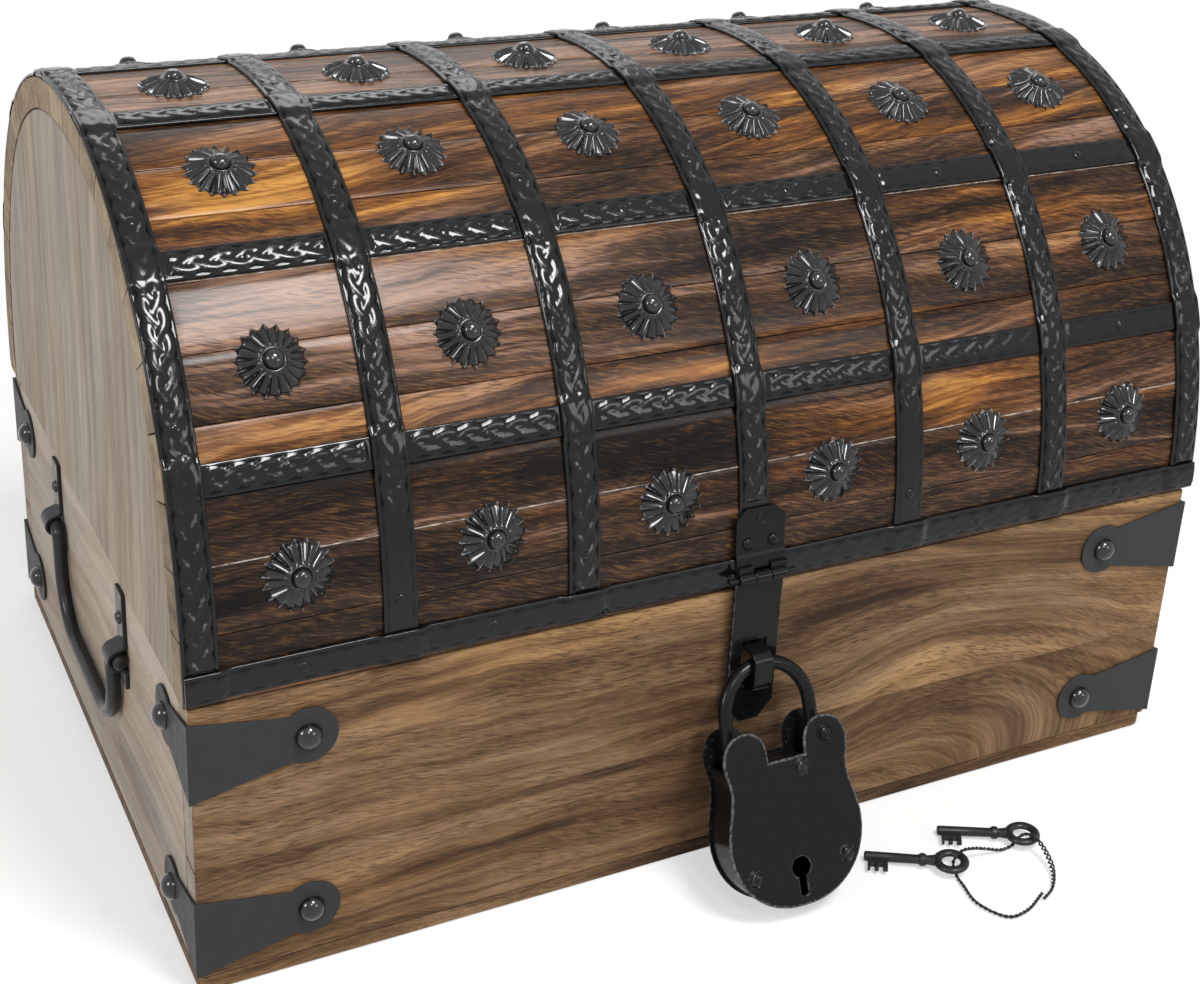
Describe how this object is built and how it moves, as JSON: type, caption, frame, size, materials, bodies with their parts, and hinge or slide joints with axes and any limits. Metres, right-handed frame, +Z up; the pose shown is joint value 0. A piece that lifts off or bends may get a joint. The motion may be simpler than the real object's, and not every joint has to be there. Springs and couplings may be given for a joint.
{
  "type": "treasure chest",
  "caption": "Small domed wooden treasure chest with embossed iron straps, flower studs, corner brackets, bail handles, a hasp, a padlock and its keys on a wire.",
  "frame": {"origin": "centre of the base's underside, in the plane that it stands on", "axes": "+X along the chest's width, to the right as seen from the front; the front with the padlock faces -Y; +Z up"},
  "size_m": [0.4462, 0.3875, 0.2964],
  "materials": {
    "base_wood": "stained, satin lacquer",
    "side_wood": "stained, satin lacquer",
    "lid_wood": "stained, satin lacquer",
    "black_sheet": "embossed sheet, black lacquer",
    "grey_sheet": "dark satin sheet",
    "handle_iron": "dark forged iron",
    "lock_steel": "matte black, worn edges",
    "key_steel": "dark worn iron"
  },
  "bodies": {
    "base": {"base_front": "base_wood", "base_back": "base_wood", "base_left": "side_wood", "base_right": "side_wood", "base_bottom": "base_wood", "bracket_front_left_top": "grey_sheet", "bracket_front_left_bottom": "grey_sheet", "bracket_front_right_top": "grey_sheet", "bracket_front_right_bottom": "grey_sheet", "bracket_back_left_top": "grey_sheet", "bracket_back_left_bottom": "grey_sheet", "bracket_back_right_top": "grey_sheet", "bracket_back_right_bottom": "grey_sheet", "hasp_staple": "lock_steel", "hinge_base_leaf_left": "grey_sheet", "hinge_base_leaf_right": "grey_sheet", "handle_lug_left_front": "handle_iron", "handle_lug_left_back": "handle_iron", "handle_lug_right_front": "handle_iron", "handle_lug_right_back": "handle_iron"},
    "lid": {"lid_end_left": "side_wood", "lid_end_right": "side_wood", "lid_panel_1": "lid_wood", "lid_panel_2": "lid_wood", "lid_panel_3": "lid_wood", "lid_panel_4": "lid_wood", "lid_panel_5": "lid_wood", "lid_panel_6": "lid_wood", "lid_panel_7": "lid_wood", "lid_strap_1": "black_sheet", "lid_strap_2": "black_sheet", "lid_strap_3": "black_sheet", "lid_strap_4": "black_sheet", "lid_strap_5": "black_sheet", "lid_strap_6": "black_sheet", "lid_strap_7": "black_sheet", "lid_strip_1": "black_sheet", "lid_strip_2": "black_sheet", "lid_strip_3": "black_sheet", "lid_strip_4": "black_sheet", "lid_strip_5": "black_sheet", "lid_strip_6": "black_sheet", "lid_strip_7": "black_sheet", "lid_strip_8": "black_sheet", "hinge_lid_leaf_left": "grey_sheet", "hinge_lid_leaf_right": "grey_sheet", "hasp_lid_leaf": "lock_steel"},
    "hasp": {"hasp_plate": "lock_steel"},
    "shackle": {"lock_shackle": "lock_steel"},
    "lock_case": {"lock_front_plate": "lock_steel", "lock_back_plate": "lock_steel", "lock_band": "lock_steel", "lock_spring": "key_steel", "lock_pivot_rivet": "lock_steel"},
    "bolt": {"lock_bolt": "key_steel"},
    "handle_left": {"handle_left": "handle_iron"},
    "handle_right": {"handle_right": "handle_iron"},
    "keys": {"key_1": "key_steel", "key_2": "key_steel", "key_wire": "key_steel"}
  },
  "joints": [
    {"name": "lid_hinge", "type": "hinge", "parent": "base", "child": "lid", "pos_m": [0, 0.1524, 0.11922], "axis": [-1, 0, 0], "range_deg": [0, 95]},
    {"name": "hasp_hinge", "type": "hinge", "parent": "lid", "child": "hasp", "pos_m": [0.002, -0.1534, 0.126], "axis": [-1, 0, 0], "range_deg": [0, 165]},
    {"name": "padlock_swing", "type": "hinge", "parent": "base", "child": "shackle", "pos_m": [0.0045, -0.1553, 0.0886], "axis": [-1, 0, 0], "range_deg": [0, 60]},
    {"name": "case_turn", "type": "hinge", "parent": "shackle", "child": "lock_case", "pos_m": [0.0221, -0.1675, 0.06119], "axis": [0, -0.9135, 0.4067], "range_deg": [0, 30]},
    {"name": "bolt_slide", "type": "slide", "parent": "lock_case", "child": "bolt", "axis": [1, 0, 0], "range_m": [0, 0.0033], "deforming": ["lock_spring"]},
    {"name": "handle_left_hinge", "type": "hinge", "parent": "base", "child": "handle_left", "pos_m": [-0.2184, 0, 0.087], "axis": [0, 1, 0], "range_deg": [0, 100]},
    {"name": "handle_right_hinge", "type": "hinge", "parent": "base", "child": "handle_right", "pos_m": [0.2184, 0, 0.087], "axis": [0, -1, 0], "range_deg": [0, 100]},
    {"name": "keys_lift", "type": "slide", "parent": "base", "child": "keys", "axis": [0, 0, 1], "range_m": [0, 0.04]}
  ],
  "couplings": [
    {"joint": "bolt_slide", "follows": "case_turn", "m_per_rad": 0.0061}
  ]
}
